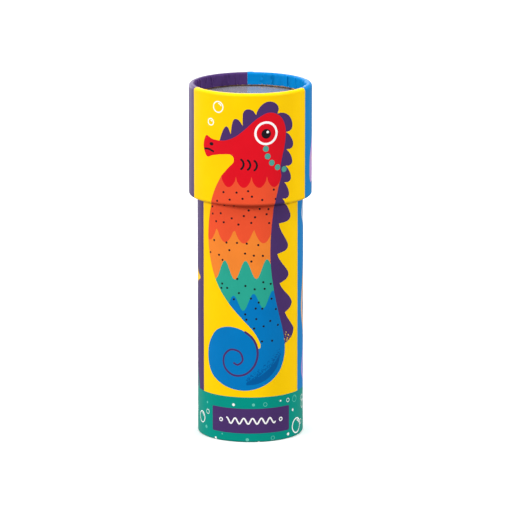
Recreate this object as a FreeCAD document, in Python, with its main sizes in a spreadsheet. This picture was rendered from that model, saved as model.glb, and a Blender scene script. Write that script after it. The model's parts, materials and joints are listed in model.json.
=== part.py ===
"""Toy kaleidoscope: a paperboard viewing tube with a turning cap that holds loose coloured pieces.

Frame: millimetres, +Z up, origin at the centre of the bottom rim, which the toy stands on.
The eyepiece is at the bottom, the turning cap at the top, and -Y is the front.
"""

import FreeCAD, Part

import math
import os

import Sketcher

# Driving dimensions: name, millimetres (or a plain count), what it is.
DIMENSIONS = [
    ("total_height", 184.0, "bottom rim to top rim"),
    ("paper", 0.2, "printed wrap paper"),
    ("running_gap", 0.08, "radial clearance between cap and tube"),
    ("cap_diameter", 63.5, "outside, over the paper"),
    ("cap_length", 58.3, "rim to rim"),
    ("cap_board", 2.9, "board thickness of the cap tube"),
    ("cap_outer_round", 1.5, "outer edge rounding, over the paper"),
    ("cap_inner_round", 1.2, "inner edge rounding, over the paper"),
    ("cap_top_fold", 5.8, "paper turned in at the top rim"),
    ("cap_bottom_fold", 3.2, "paper turned in at the bottom rim"),
    ("tube_diameter", 54.7, "outside, over the paper"),
    ("tube_board", 1.8, "board thickness of the viewing tube"),
    ("tube_length", 160.8, "bottom rim to the top of the board"),
    ("tube_outer_round", 0.9, "outer bottom edge rounding, over the paper"),
    ("tube_inner_round", 0.6, "inner bottom edge rounding, over the paper"),
    ("tube_fold", 9.0, "paper turned in at the bottom rim"),
    ("collar_length", 14.0, "retaining collar round the tube's top end"),
    ("collar_gap", 0.2, "axial play between collar and cap ring"),
    ("eyepiece_recess", 1.5, "eyepiece face above the bottom rim"),
    ("eyepiece_board", 2.0, "eyepiece disc thickness"),
    ("peep_hole", 12.0, "peep hole diameter"),
    ("eyepiece_film", 0.5, "eyepiece window thickness"),
    ("mirror_apothem", 11.2, "axis to each mirror's reflecting face"),
    ("mirror_sheet", 1.2, "mirror strip thickness"),
    ("mirror_length", 150.0, "mirror strip length"),
    ("tape", 0.25, "tape thickness"),
    ("tape_width", 18.0, "tape band width"),
    ("tape_inset", 30.0, "prism end to the nearer edge of a tape band"),
    ("foam_width", 8.0, "foam support thickness along the tube"),
    ("foam_inset", 10.0, "prism end to the nearer face of a foam support"),
    ("end_ring_wall", 3.0, "radial width of the prism's end ring"),
    ("end_ring_length", 3.4, "end ring along the tube"),
    ("window_sheet", 0.8, "clear disc thickness"),
    ("keeper_wall", 1.8, "radial width of the window keeper ring"),
    ("keeper_length", 1.6, "window keeper ring along the tube"),
    ("washer_thickness", 0.4, "slip washer on the tube's top rim"),
    ("seat_wall", 4.2, "radial width of the chamber seat ring"),
    ("seat_length", 3.0, "chamber seat ring along the tube"),
    ("spacer_wall", 2.2, "radial width of the chamber spacer ring"),
    ("diffuser_recess", 7.0, "frosted disc's face below the top rim"),
    ("diffuser_sheet", 1.1, "frosted disc thickness"),
    ("board_bevel", 0.3, "bevel on the edge of a glued board ring"),
    ("glue_gap", 0.05, "radial clearance of a glued disc or ring"),
    ("bezel_wall", 1.0, "radial width of the ring over the frosted disc"),
    ("bezel_length", 1.0, "height of the ring over the frosted disc"),
    ("bead_diameter", 4.8, "round bead"),
    ("bead_bore", 1.0, "hole through a round bead"),
    ("straw_diameter", 2.3, "tube bead"),
    ("straw_bore", 1.0, "hole through a tube bead"),
    ("straw_length", 6.0, "tube bead"),
    ("star_radius", 2.7, "centre to a star's point"),
    ("star_waist", 1.25, "centre to a star's inner corner"),
    ("chip_thickness", 1.3, "star and gem chips"),
    ("loop_radius", 1.9, "ring chip, centre to the middle of its wire"),
    ("loop_wire", 0.65, "ring chip, radius of its round section"),
    ("gem_radius", 2.5, "centre to a gem's corner"),
    ("gem_bevel", 0.5, "gem edge bevel"),
    ("flake_radius", 2.6, "centre to a flake's corner"),
    ("flake_sheet", 0.5, "flake thickness"),
    ("rest_gap", 0.02, "loose pieces above the chamber floor"),
]

SAME = 1e-4  # lengths this close count as equal
STAR_POINTS = 5
GEM_SIDES = 6
FLAKE_SIDES = 3
MIRROR_SIDES = {"mirror_front": 180.0, "mirror_right": 300.0, "mirror_left": 60.0}

# Loose pieces by kind: (distance from the axis, degrees round it, turn of the piece in degrees).
ROUND_BEADS = [
    (23.5, 8, 0), (23.3, 41, 35), (23.6, 66, 80), (23.4, 118, 20), (23.6, 163, 60),
    (23.3, 207, 10), (23.5, 251, 75), (23.6, 293, 40), (23.4, 334, 15),
]
STRAW_BEADS = [(23.2, 91, 84), (23.4, 141, -58), (23.3, 185, 96), (23.2, 229, 55), (23.3, 271, 92),
               (23.2, 314, -70)]
STARS = [(16.8, 14, 10), (16.6, 72, 31), (17.0, 127, 52), (16.7, 188, 4), (16.9, 243, 66), (16.6, 300, 22)]
LOOPS = [(16.8, 44, 0), (16.5, 99, 0), (17.0, 158, 0), (16.6, 216, 0), (16.8, 271, 0), (16.7, 333, 0)]
GEMS = [(9.4, 25, 12), (9.6, 83, 47), (9.3, 149, 30), (9.7, 205, 5), (9.4, 262, 21), (9.6, 322, 50)]
FLAKES = [(3.5, 58, 15), (3.6, 181, 70), (3.4, 300, 40)]

document = FreeCAD.newDocument("kaleidoscope")


class Size:
    """A length with its number and the spreadsheet expression that drives it."""

    def __init__(self, value, text):
        self.value = value
        self.text = text

    def _with(self, other, operator, value):
        text = other.text if isinstance(other, Size) else repr(float(other))
        return Size(value, "(" + self.text + operator + text + ")")

    def __add__(self, other):
        return self._with(other, " + ", self.value + number(other))

    def __sub__(self, other):
        return self._with(other, " - ", self.value - number(other))

    def __mul__(self, other):
        return self._with(other, " * ", self.value * number(other))

    def __truediv__(self, other):
        return self._with(other, " / ", self.value / number(other))


def number(size):
    """The plain number of a Size or of a number."""
    return size.value if isinstance(size, Size) else float(size)


def bind(item, path, size):
    """Drive one property of an object from the spreadsheet."""
    item.setExpression(path, size.text)


def make_sheet():
    """The spreadsheet of driving dimensions, and each of them as a Size."""
    sheet = document.addObject("Spreadsheet::Sheet", "sizes")
    found = {}
    for row, (name, value, meaning) in enumerate(DIMENSIONS, start=1):
        sheet.set("A" + str(row), str(value))
        sheet.set("B" + str(row), meaning)
        sheet.setAlias("A" + str(row), name)
        found[name] = Size(value, "sizes." + name)
    document.recompute()
    return found


D = make_sheet()

# Radii and heights that several pieces share.
CAP_OUTER = D["cap_diameter"] / 2
CAP_BOARD_OUTER = CAP_OUTER - D["paper"]
CAP_BOARD_INNER = CAP_BOARD_OUTER - D["cap_board"]
CAP_FOLD_INNER = CAP_BOARD_INNER - D["paper"]
CAP_TOP = D["total_height"]
CAP_BOTTOM = CAP_TOP - D["cap_length"]
TUBE_OUTER = D["tube_diameter"] / 2
TUBE_BOARD_OUTER = TUBE_OUTER - D["paper"]
TUBE_BOARD_INNER = TUBE_BOARD_OUTER - D["tube_board"]
TUBE_FOLD_INNER = TUBE_BOARD_INNER - D["paper"]
COLLAR_BOTTOM = D["tube_length"] - D["collar_length"]
EYEPIECE_FACE = D["eyepiece_recess"] + D["paper"]
EYEPIECE_BACK = EYEPIECE_FACE + D["eyepiece_board"]
PRISM_BOTTOM = EYEPIECE_BACK + D["eyepiece_film"]
PRISM_TOP = PRISM_BOTTOM + D["mirror_length"]
WINDOW_BOTTOM = PRISM_TOP + D["end_ring_length"]
WINDOW_TOP = WINDOW_BOTTOM + D["window_sheet"]
WASHER_TOP = D["tube_length"] + D["washer_thickness"]
SEAT_BOTTOM = WASHER_TOP + D["running_gap"]
FLOOR_BOTTOM = SEAT_BOTTOM + D["seat_length"]
FLOOR_TOP = FLOOR_BOTTOM + D["window_sheet"]
DIFFUSER_TOP = CAP_TOP - D["diffuser_recess"]
DIFFUSER_BOTTOM = DIFFUSER_TOP - D["diffuser_sheet"]
CAP_SEAT_RADIUS = CAP_BOARD_INNER - D["glue_gap"]
TUBE_SEAT_RADIUS = TUBE_BOARD_INNER - D["glue_gap"]


def new_body(label):
    """An empty PartDesign body with this label."""
    body = document.addObject("PartDesign::Body", label)
    body.Label = label
    return body


def origin_plane(body, role):
    """One of a body's own origin planes, such as XY_Plane."""
    for feature in body.Origin.OriginFeatures:
        if feature.Role == role:
            return feature
    raise ValueError("no plane " + role)


def new_sketch(body, name, role="XY_Plane"):
    """A sketch on one of the body's origin planes."""
    sketch = body.newObject("Sketcher::SketchObject", body.Name + "_" + name)
    sketch.AttachmentSupport = [(origin_plane(body, role), "")]
    sketch.MapMode = "FlatFace"
    return sketch


def add_circle(sketch, radius):
    """A circle about the sketch's origin."""
    circle = Part.Circle(FreeCAD.Vector(0, 0, 0), FreeCAD.Vector(0, 0, 1), radius.value)
    index = sketch.addGeometry(circle)
    sketch.addConstraint(Sketcher.Constraint("Coincident", index, 3, -1, 1))
    constraint = sketch.addConstraint(Sketcher.Constraint("Radius", index, radius.value))
    bind(sketch, "Constraints[" + str(constraint) + "]", radius)


def fix_coordinate(sketch, kind, index, corner, size):
    """Hold one coordinate of a sketch point, measured from the sketch's origin."""
    value = number(size)
    start = (-1, 1, index, corner) if value >= 0 else (index, corner, -1, 1)
    constraint = sketch.addConstraint(Sketcher.Constraint(kind, *start, abs(value)))
    driver = size if value >= 0 else size * -1
    bind(sketch, "Constraints[" + str(constraint) + "]", driver)


def add_loop(sketch, corners):
    """A closed loop of lines and arcs.

    A corner is (x, y) for a line that ends there, or (x, y, centre_x, centre_y) for an arc of
    less than half a turn that ends there. Each x and y is a Size, or 0.
    """
    count = len(corners)
    first = sketch.GeometryCount
    points = [FreeCAD.Vector(number(c[0]), number(c[1]), 0) for c in corners]
    flipped = []
    for k, corner in enumerate(corners):
        start = points[k - 1]
        end = points[k]
        if len(corner) == 2:
            sketch.addGeometry(Part.LineSegment(start, end))
            flipped.append(False)
            continue
        centre = FreeCAD.Vector(number(corner[2]), number(corner[3]), 0)
        circle = Part.Circle(centre, FreeCAD.Vector(0, 0, 1), (start - centre).Length)
        turn = (start - centre).cross(end - centre).z
        low, high = (start, end) if turn > 0 else (end, start)
        angles = [math.atan2((p - centre).y, (p - centre).x) for p in (low, high)]
        sketch.addGeometry(Part.ArcOfCircle(circle, angles[0], angles[1]))
        flipped.append(turn < 0)
    for k, corner in enumerate(corners):
        following = (k + 1) % count
        end_point = 1 if flipped[k] else 2
        start_point = 2 if flipped[following] else 1
        joined = (first + k, end_point, first + following, start_point)
        sketch.addConstraint(Sketcher.Constraint("Coincident", *joined))
        for kind, size, axis in (("DistanceX", corner[0], -2), ("DistanceY", corner[1], -1)):
            if abs(number(size)) < SAME:
                sketch.addConstraint(Sketcher.Constraint("PointOnObject", first + k, end_point, axis))
            else:
                fix_coordinate(sketch, kind, first + k, end_point, size)
        if len(corner) == 4:
            fix_coordinate(sketch, "DistanceX", first + k, 3, corner[2])


def add_polygon(sketch, radii, turn=90.0):
    """A closed polygon: one corner per radius, evenly spaced round the origin."""
    corners = []
    for k, radius in enumerate(radii):
        angle = math.radians(turn + 360.0 * k / len(radii))
        x = math.cos(angle)
        y = math.sin(angle)
        corners.append((radius * x if abs(x) > SAME else 0, radius * y if abs(y) > SAME else 0))
    add_loop(sketch, corners)


def add_prism_outline(sketch, face, corner_face):
    """The six-sided outline round the three mirror strips.

    face is the distance of the three long sides from the axis and corner_face that of the
    three short sides between them; neighbouring sides turn by 60 degrees.
    """
    step = math.radians(60.0)
    cosine = math.cos(step)
    sine_squared = math.sin(step) ** 2
    corners = []
    for k in range(6):
        first = math.radians(-90.0) + k * step
        second = first + step
        near, far = (face, corner_face) if k % 2 == 0 else (corner_face, face)
        terms = []
        for part in (math.cos, math.sin):
            near_share = (part(first) - cosine * part(second)) / sine_squared
            far_share = (part(second) - cosine * part(first)) / sine_squared
            terms.append(near * near_share + far * far_share)
        corners.append(tuple(0 if abs(t.value) < SAME else t for t in terms))
    add_loop(sketch, corners)


def pad(body, sketch, length):
    """Pad a sketch upwards."""
    feature = body.newObject("PartDesign::Pad", body.Name + "_pad")
    feature.Profile = sketch
    bind(feature, "Length", length)
    return feature


def lift(body, height):
    """Place a body at a height above the bottom rim."""
    bind(body, "Placement.Base.z", height)


def circle_edges(feature, radius, height):
    """Names of a feature's circular edges of one radius at one height in its body."""
    names = []
    for index, edge in enumerate(feature.Shape.Edges, start=1):
        curve = edge.Curve
        if isinstance(curve, Part.Circle) and abs(curve.Radius - radius.value) < SAME:
            if abs(curve.Center.z - number(height)) < SAME:
                names.append("Edge" + str(index))
    return names


def round_edges(body, wanted):
    """Fillet circular edges of a body. wanted holds (edge radius, height in the body, size)."""
    for k, (radius, height, size) in enumerate(wanted):
        document.recompute()
        base = body.Tip
        fillet = body.newObject("PartDesign::Fillet", body.Name + "_round" + str(k))
        fillet.Base = (base, circle_edges(base, radius, height))
        bind(fillet, "Radius", size)


def ring(label, inner, outer, low, length):
    """A plain ring: two circles, padded."""
    body = new_body(label)
    sketch = new_sketch(body, "section")
    add_circle(sketch, outer)
    add_circle(sketch, inner)
    pad(body, sketch, length)
    lift(body, low)
    return body


def disc(label, radius, low, thickness):
    """A plain round disc."""
    body = new_body(label)
    sketch = new_sketch(body, "outline")
    add_circle(sketch, radius)
    pad(body, sketch, thickness)
    lift(body, low)
    return body


def holed_disc(label, radius, hole, low, thickness):
    """A round disc with a hole cut through its middle."""
    body = disc(label, radius, low, thickness)
    sketch = new_sketch(body, "hole")
    add_circle(sketch, hole)
    pocket = body.newObject("PartDesign::Pocket", body.Name + "_pocket")
    pocket.Profile = sketch
    pocket.Type = "ThroughAll"
    pocket.Reversed = True
    return body


def revolved(label, corners):
    """A closed profile in the XZ plane, turned once round the Z axis."""
    body = new_body(label)
    sketch = new_sketch(body, "profile", "XZ_Plane")
    add_loop(sketch, corners)
    feature = body.newObject("PartDesign::Revolution", body.Name + "_turn")
    feature.Profile = sketch
    feature.ReferenceAxis = (sketch, ["V_Axis"])
    feature.Angle = 360.0
    return body


def cap_tube():
    """The cap's board tube, with both rims rounded."""
    low = CAP_BOTTOM + D["paper"]
    length = D["cap_length"] - D["paper"] * 2
    body = ring("cap_tube", CAP_BOARD_INNER, CAP_BOARD_OUTER, low, length)
    outer_round = D["cap_outer_round"] - D["paper"]
    inner_round = D["cap_inner_round"] - D["paper"]
    edges = [
        (CAP_BOARD_OUTER, length, outer_round),
        (CAP_BOARD_INNER, length, inner_round),
        (CAP_BOARD_OUTER, 0, outer_round),
        (CAP_BOARD_INNER, 0, inner_round),
    ]
    round_edges(body, edges)
    return body


def rim_turn(inner, outer, rim, side, inner_round, outer_round):
    """Corners of one face of a paper turn over a rim, from the outside wall to the inside wall.

    side is +1 for a top rim and -1 for a bottom rim.
    """
    outer_level = rim - outer_round * side
    inner_level = rim - inner_round * side
    outer_centre = outer - outer_round
    inner_centre = inner + inner_round
    return [
        (outer, outer_level),
        (outer_centre, rim, outer_centre, outer_level),
        (inner_centre, rim),
        (inner, inner_level, inner_centre, inner_level),
    ]


def turned_back(corners):
    """The same stretch of outline, walked from its far end."""
    walked = []
    for k in range(len(corners) - 1, -1, -1):
        after = corners[k + 1] if k + 1 < len(corners) else corners[k]
        arc = len(after) == 4 and k + 1 < len(corners)
        walked.append(corners[k][:2] + after[2:] if arc else corners[k][:2])
    return walked


def cap_wrap():
    """The printed paper round the cap, turned in over both rims."""
    paper = D["paper"]
    top_end = CAP_TOP - D["cap_top_fold"]
    bottom_end = CAP_BOTTOM + D["cap_bottom_fold"]
    outer_round = D["cap_outer_round"]
    inner_round = D["cap_inner_round"]
    face_top = rim_turn(CAP_FOLD_INNER, CAP_OUTER, CAP_TOP, 1, inner_round, outer_round)
    face_low = rim_turn(CAP_FOLD_INNER, CAP_OUTER, CAP_BOTTOM, -1, inner_round, outer_round)
    back_rounds = (inner_round - paper, outer_round - paper)
    back_top = rim_turn(CAP_BOARD_INNER, CAP_BOARD_OUTER, CAP_TOP - paper, 1, *back_rounds)
    back_low = rim_turn(CAP_BOARD_INNER, CAP_BOARD_OUTER, CAP_BOTTOM + paper, -1, *back_rounds)
    corners = [(CAP_FOLD_INNER, top_end)]
    corners += turned_back(face_top)
    corners += face_low
    corners += [(CAP_FOLD_INNER, bottom_end), (CAP_BOARD_INNER, bottom_end)]
    corners += turned_back(back_low)
    corners += back_top
    corners += [(CAP_BOARD_INNER, top_end)]
    return revolved("cap_wrap", corners)


def main_tube():
    """The viewing tube's board, with its bottom rim rounded."""
    paper = D["paper"]
    length = D["tube_length"] - paper
    body = ring("main_tube", TUBE_BOARD_INNER, TUBE_BOARD_OUTER, paper, length)
    edges = [
        (TUBE_BOARD_OUTER, 0, D["tube_outer_round"] - paper),
        (TUBE_BOARD_INNER, 0, D["tube_inner_round"] - paper),
    ]
    round_edges(body, edges)
    return body


def tube_wrap():
    """The printed paper round the viewing tube, turned in under the bottom rim."""
    paper = D["paper"]
    outer_round = D["tube_outer_round"]
    inner_round = D["tube_inner_round"]
    inner_level = D["tube_fold"]
    face_centre_out = TUBE_OUTER - outer_round
    face_centre_in = TUBE_FOLD_INNER + inner_round
    corners = [
        (TUBE_OUTER, COLLAR_BOTTOM),
        (TUBE_BOARD_OUTER, COLLAR_BOTTOM),
        (TUBE_BOARD_OUTER, outer_round),
        (face_centre_out, paper, face_centre_out, outer_round),
        (face_centre_in, paper),
        (TUBE_BOARD_INNER, inner_round, face_centre_in, inner_round),
        (TUBE_BOARD_INNER, inner_level),
        (TUBE_FOLD_INNER, inner_level),
        (TUBE_FOLD_INNER, inner_round),
        (face_centre_in, 0, face_centre_in, inner_round),
        (face_centre_out, 0),
        (TUBE_OUTER, outer_round, face_centre_out, outer_round),
    ]
    return revolved("tube_wrap", corners)


def mirror(label, turn):
    """One mirror strip, as wide as the inner triangle's side, standing on the eyepiece window."""
    body = new_body(label)
    sketch = new_sketch(body, "section")
    half = D["mirror_apothem"] * math.sqrt(3.0)
    near = D["mirror_apothem"]
    far = near + D["mirror_sheet"]
    add_loop(sketch, [(half * -1, near), (half, near), (half, far), (half * -1, far)])
    pad(body, sketch, D["mirror_length"])
    body.Placement.Rotation = FreeCAD.Rotation(FreeCAD.Vector(0, 0, 1), turn)
    lift(body, PRISM_BOTTOM)
    return body


def prism_back(extra):
    """Distances of the prism outline's long and short sides, moved out by extra."""
    long_side = D["mirror_apothem"] + D["mirror_sheet"] + extra
    short_side = D["mirror_apothem"] * 2 + D["mirror_sheet"] / 2 + extra
    return long_side, short_side


def tape_band(label, low):
    """A band of tape pulled tight round the three mirror strips."""
    body = new_body(label)
    sketch = new_sketch(body, "section")
    add_prism_outline(sketch, *prism_back(D["tape"]))
    add_prism_outline(sketch, *prism_back(D["tape"] * 0))
    pad(body, sketch, D["tape_width"])
    lift(body, low)
    return body


def foam_support(label, low):
    """A foam ring that centres the mirror prism in the tube."""
    body = new_body(label)
    sketch = new_sketch(body, "section")
    add_circle(sketch, TUBE_SEAT_RADIUS)
    add_prism_outline(sketch, *prism_back(D["glue_gap"]))
    pad(body, sketch, D["foam_width"])
    lift(body, low)
    return body


def bevelled_ring(label, inner, outer, low, length):
    """A board ring glued inside a tube, with its lower inner edge bevelled."""
    body = ring(label, inner, outer, low, length)
    document.recompute()
    base = body.Tip
    chamfer = body.newObject("PartDesign::Chamfer", body.Name + "_bevel")
    chamfer.Base = (base, circle_edges(base, inner, 0))
    bind(chamfer, "Size", D["board_bevel"])
    return body


def bead_shape():
    """One round bead with its threading hole upright."""
    ball = document.addObject("Part::Sphere", "bead_ball")
    bind(ball, "Radius", D["bead_diameter"] / 2)
    hole = document.addObject("Part::Cylinder", "bead_hole")
    bind(hole, "Radius", D["bead_bore"] / 2)
    bind(hole, "Height", D["bead_diameter"] * 2)
    bind(hole, "Placement.Base.z", D["bead_diameter"] * -1)
    bead = document.addObject("Part::Cut", "bead")
    bead.Base = ball
    bead.Tool = hole
    return bead


def straw_shape():
    """One tube bead, lying along X."""
    rod = document.addObject("Part::Cylinder", "straw_rod")
    bind(rod, "Radius", D["straw_diameter"] / 2)
    bind(rod, "Height", D["straw_length"])
    hole = document.addObject("Part::Cylinder", "straw_hole")
    bind(hole, "Radius", D["straw_bore"] / 2)
    bind(hole, "Height", D["straw_length"])
    straw = document.addObject("Part::Cut", "straw")
    straw.Base = rod
    straw.Tool = hole
    straw.Placement.Rotation = FreeCAD.Rotation(FreeCAD.Vector(0, 1, 0), 90)
    bind(straw, "Placement.Base.x", D["straw_length"] / -2)
    return straw


def loop_shape():
    """One ring chip, lying flat."""
    loop = document.addObject("Part::Torus", "loop")
    bind(loop, "Radius1", D["loop_radius"])
    bind(loop, "Radius2", D["loop_wire"])
    return loop


def plate_shape(name, radii, thickness, bevel=None):
    """One flat chip with a corner at each radius, and bevelled edges if asked."""
    body = new_body(name)
    sketch = new_sketch(body, "outline")
    add_polygon(sketch, radii)
    feature = pad(body, sketch, thickness)
    if bevel is not None:
        document.recompute()
        names = []
        for index, edge in enumerate(feature.Shape.Edges, start=1):
            ends = [vertex.Point.z for vertex in edge.Vertexes]
            if abs(ends[0] - ends[1]) < SAME:
                names.append("Edge" + str(index))
        chamfer = body.newObject("PartDesign::Chamfer", name + "_bevel")
        chamfer.Base = (feature, names)
        bind(chamfer, "Size", bevel)
    return body


def scatter(label, template, places, lift_above_floor, tip_over=False):
    """Copies of one loose piece lying on the chamber floor, as one group.

    A scattered group has no pattern that a feature could follow, so its shape is set here.
    """
    floor = FLOOR_TOP.value + D["rest_gap"].value + lift_above_floor
    copies = []
    for distance, round_axis, turn in places:
        angle = math.radians(round_axis)
        spot = FreeCAD.Vector(distance * math.cos(angle), distance * math.sin(angle), floor)
        rotation = FreeCAD.Rotation(FreeCAD.Vector(0, 0, 1), round_axis + turn)
        if tip_over:
            lean = FreeCAD.Rotation(FreeCAD.Vector(0, 1, 0), 90)
            rotation = rotation.multiply(lean)
        copy = template.Shape.copy()
        copy.Placement = FreeCAD.Placement(spot, rotation).multiply(template.Placement)
        copies.append(copy)
    group = document.addObject("Part::Feature", label)
    group.Label = label
    group.Shape = Part.makeCompound(copies)
    return group


def viewing_tube_pieces():
    """Everything that stays still while the cap turns."""
    pieces = [main_tube(), tube_wrap()]
    collar_outer = CAP_BOARD_INNER - D["running_gap"]
    pieces.append(ring("tube_collar", TUBE_BOARD_OUTER, collar_outer, COLLAR_BOTTOM, D["collar_length"]))
    pieces.append(
        ring("slip_washer", TUBE_BOARD_INNER, collar_outer, D["tube_length"], D["washer_thickness"])
    )
    eye_radius = TUBE_FOLD_INNER - D["glue_gap"]
    hole = D["peep_hole"] / 2
    pieces.append(holed_disc("eyepiece_disc", eye_radius, hole, EYEPIECE_FACE, D["eyepiece_board"]))
    pieces.append(holed_disc("eyepiece_label", eye_radius, hole, D["eyepiece_recess"], D["paper"]))
    pieces.append(disc("eyepiece_window", eye_radius, EYEPIECE_BACK, D["eyepiece_film"]))
    for label, turn in MIRROR_SIDES.items():
        pieces.append(mirror(label, turn))
    tape_low = PRISM_BOTTOM + D["tape_inset"]
    tape_high = PRISM_TOP - D["tape_inset"] - D["tape_width"]
    pieces.append(tape_band("prism_tape_lower", tape_low))
    pieces.append(tape_band("prism_tape_upper", tape_high))
    foam_low = PRISM_BOTTOM + D["foam_inset"]
    foam_high = PRISM_TOP - D["foam_inset"] - D["foam_width"]
    pieces.append(foam_support("prism_foam_lower", foam_low))
    pieces.append(foam_support("prism_foam_upper", foam_high))
    end_inner = TUBE_SEAT_RADIUS - D["end_ring_wall"]
    end_length = D["end_ring_length"]
    pieces.append(bevelled_ring("prism_end_ring", end_inner, TUBE_SEAT_RADIUS, PRISM_TOP, end_length))
    pieces.append(disc("objective_window", TUBE_SEAT_RADIUS, WINDOW_BOTTOM, D["window_sheet"]))
    keeper_inner = TUBE_SEAT_RADIUS - D["keeper_wall"]
    pieces.append(ring("window_keeper_ring", keeper_inner, TUBE_SEAT_RADIUS, WINDOW_TOP, D["keeper_length"]))
    return pieces


def cap_pieces():
    """Everything that turns with the cap."""
    pieces = [cap_tube(), cap_wrap()]
    ring_inner = TUBE_OUTER + D["running_gap"]
    ring_low = CAP_BOTTOM + D["cap_bottom_fold"]
    ring_length = COLLAR_BOTTOM - D["collar_gap"] - ring_low
    pieces.append(ring("cap_bearing_ring", ring_inner, CAP_BOARD_INNER, ring_low, ring_length))
    seat_inner = CAP_BOARD_INNER - D["seat_wall"]
    seat_length = D["seat_length"]
    pieces.append(bevelled_ring("chamber_seat_ring", seat_inner, CAP_BOARD_INNER, SEAT_BOTTOM, seat_length))
    pieces.append(disc("chamber_floor_disc", CAP_SEAT_RADIUS, FLOOR_BOTTOM, D["window_sheet"]))
    spacer_inner = CAP_SEAT_RADIUS - D["spacer_wall"]
    spacer_length = DIFFUSER_BOTTOM - FLOOR_TOP
    pieces.append(ring("chamber_spacer_ring", spacer_inner, CAP_SEAT_RADIUS, FLOOR_TOP, spacer_length))
    pieces.append(disc("frosted_disc", CAP_SEAT_RADIUS, DIFFUSER_BOTTOM, D["diffuser_sheet"]))
    bezel_inner = CAP_SEAT_RADIUS - D["bezel_wall"]
    pieces.append(ring("disc_bezel_ring", bezel_inner, CAP_SEAT_RADIUS, DIFFUSER_TOP, D["bezel_length"]))
    return pieces


def loose_pieces():
    """The coloured pieces that tumble in the chamber, one group for each kind."""
    thickness = D["chip_thickness"]
    bead = bead_shape()
    straw = straw_shape()
    loop = loop_shape()
    star = plate_shape("star", [D["star_radius"], D["star_waist"]] * STAR_POINTS, thickness)
    gem = plate_shape("gem", [D["gem_radius"]] * GEM_SIDES, thickness, D["gem_bevel"])
    flake = plate_shape("flake", [D["flake_radius"]] * FLAKE_SIDES, D["flake_sheet"])
    document.recompute()
    return [
        scatter("round_beads", bead, ROUND_BEADS, D["bead_diameter"].value / 2, tip_over=True),
        scatter("tube_beads", straw, STRAW_BEADS, D["straw_diameter"].value / 2),
        scatter("star_chips", star, STARS, 0.0),
        scatter("ring_chips", loop, LOOPS, D["loop_wire"].value),
        scatter("gem_chips", gem, GEMS, 0.0),
        scatter("flake_chips", flake, FLAKES, 0.0),
    ]


def check_and_write(pieces):
    """Stop on any failed object or unsound shape, then write one STEP file for each piece."""
    document.recompute()
    for item in document.Objects:
        if "Invalid" in item.State or "Error" in item.State:
            raise RuntimeError(item.Label + " failed: " + str(item.State))
    os.makedirs("parts", exist_ok=True)
    for piece in pieces:
        shape = piece.Shape
        if shape.isNull() or not shape.isValid() or not shape.Solids:
            raise RuntimeError(piece.Label + " has no sound solid")
        shape.exportStep(os.path.join("parts", piece.Label + ".step"))
        box = shape.optimalBoundingBox(False, False)
        counts = "%s: %d solids, %.1f cubic mm" % (piece.Label, len(shape.Solids), shape.Volume)
        spans = (box.XMin, box.XMax, box.YMin, box.YMax, box.ZMin, box.ZMax)
        print(counts + ", x %.2f to %.2f, y %.2f to %.2f, z %.2f to %.2f" % spans)


check_and_write(viewing_tube_pieces() + cap_pieces() + loose_pieces())
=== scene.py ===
"""Looks of the toy kaleidoscope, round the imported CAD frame. Metres, +Z up, -Y is the front."""

import json
import random
from math import atan2, cos, pi, radians, remainder, sin

import bpy
import numpy as np
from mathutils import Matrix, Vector
from mathutils.geometry import delaunay_2d_cdt


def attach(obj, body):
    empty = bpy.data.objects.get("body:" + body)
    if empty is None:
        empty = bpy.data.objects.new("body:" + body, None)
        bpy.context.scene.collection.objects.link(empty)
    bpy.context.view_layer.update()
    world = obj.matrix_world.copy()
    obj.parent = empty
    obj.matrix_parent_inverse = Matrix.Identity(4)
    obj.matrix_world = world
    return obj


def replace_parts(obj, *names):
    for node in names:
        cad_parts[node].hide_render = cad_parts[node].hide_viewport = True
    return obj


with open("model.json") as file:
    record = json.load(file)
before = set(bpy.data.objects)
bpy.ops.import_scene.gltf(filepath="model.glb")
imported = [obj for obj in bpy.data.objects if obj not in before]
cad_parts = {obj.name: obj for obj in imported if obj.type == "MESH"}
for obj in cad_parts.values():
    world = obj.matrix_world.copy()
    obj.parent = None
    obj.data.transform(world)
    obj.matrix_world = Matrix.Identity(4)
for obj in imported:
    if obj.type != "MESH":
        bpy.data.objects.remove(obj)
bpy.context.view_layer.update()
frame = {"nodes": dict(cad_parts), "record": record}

MM = 0.001  # drawings and paper sizes are in millimetres, meshes in metres
TURN = 2 * pi

# Print colours, as sRGB hex.
INKS = {
    "yellow": "FFCD00", "purple": "4A3168", "blue": "007EC4", "green": "009181",
    "red": "DC1122", "vermilion": "EA522F", "orange": "EF8430", "teal": "2AA38D", "azure": "0076BB",
    "navy": "005A9C", "black": "1C181E", "white": "FAFAF8", "mist": "5FC0AE", "sage": "4FA092",
    "lilac": "BD93CF", "peach": "F3BE80", "pink": "EC6C80",
}


# ---------------------------------------------------------------- materials

def linear(hex_colour):
    """sRGB hex to linear RGB."""
    parts = [int(hex_colour[k:k + 2], 16) / 255 for k in (0, 2, 4)]
    return tuple(c / 12.92 if c <= 0.04045 else ((c + 0.055) / 1.055) ** 2.4 for c in parts)


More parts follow.
